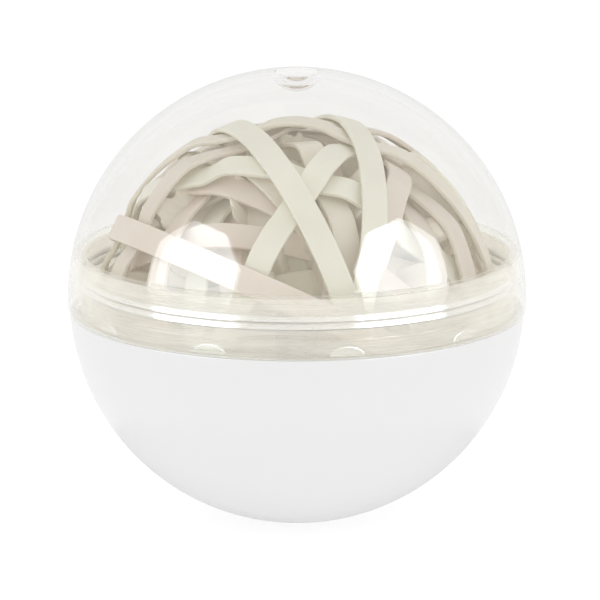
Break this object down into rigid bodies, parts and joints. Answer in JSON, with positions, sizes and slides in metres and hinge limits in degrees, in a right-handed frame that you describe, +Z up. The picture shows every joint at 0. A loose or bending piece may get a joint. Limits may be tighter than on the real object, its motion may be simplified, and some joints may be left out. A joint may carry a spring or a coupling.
{
  "type": "rubber band ball",
  "caption": "Ball of wound flat rubber bands in a round capsule with a clear dome, a clear collar and a white bowl.",
  "frame": {"origin": "middle of the flat foot under the white bowl, on the surface that the capsule stands on", "axes": "+Z up along the capsule's axis, from the foot to the dimple in the dome's crown; -Y is the front"},
  "size_m": [0.0798, 0.0798, 0.0787],
  "materials": {
    "clear_plastic": "clear, polished",
    "white_plastic": "glossy white",
    "band_rubber": "matt, natural and beige"
  },
  "bodies": {
    "base": {"white_bowl": "white_plastic", "clear_collar": "clear_plastic", "wound_core": "band_rubber", "rubber_band_01": "band_rubber", "rubber_band_02": "band_rubber", "rubber_band_03": "band_rubber", "rubber_band_04": "band_rubber", "rubber_band_05": "band_rubber", "rubber_band_06": "band_rubber", "rubber_band_07": "band_rubber", "rubber_band_08": "band_rubber", "rubber_band_09": "band_rubber", "rubber_band_10": "band_rubber", "rubber_band_11": "band_rubber", "rubber_band_12": "band_rubber", "rubber_band_13": "band_rubber", "rubber_band_14": "band_rubber", "rubber_band_15": "band_rubber", "rubber_band_16": "band_rubber", "rubber_band_17": "band_rubber", "rubber_band_18": "band_rubber", "rubber_band_19": "band_rubber", "rubber_band_20": "band_rubber", "rubber_band_21": "band_rubber", "rubber_band_22": "band_rubber", "rubber_band_23": "band_rubber", "rubber_band_24": "band_rubber"},
    "dome": {"clear_dome": "clear_plastic"}
  },
  "joints": [
    {"name": "dome_lift", "type": "slide", "parent": "base", "child": "dome", "axis": [0, 0, 1], "range_m": [0, 0.04]}
  ]
}
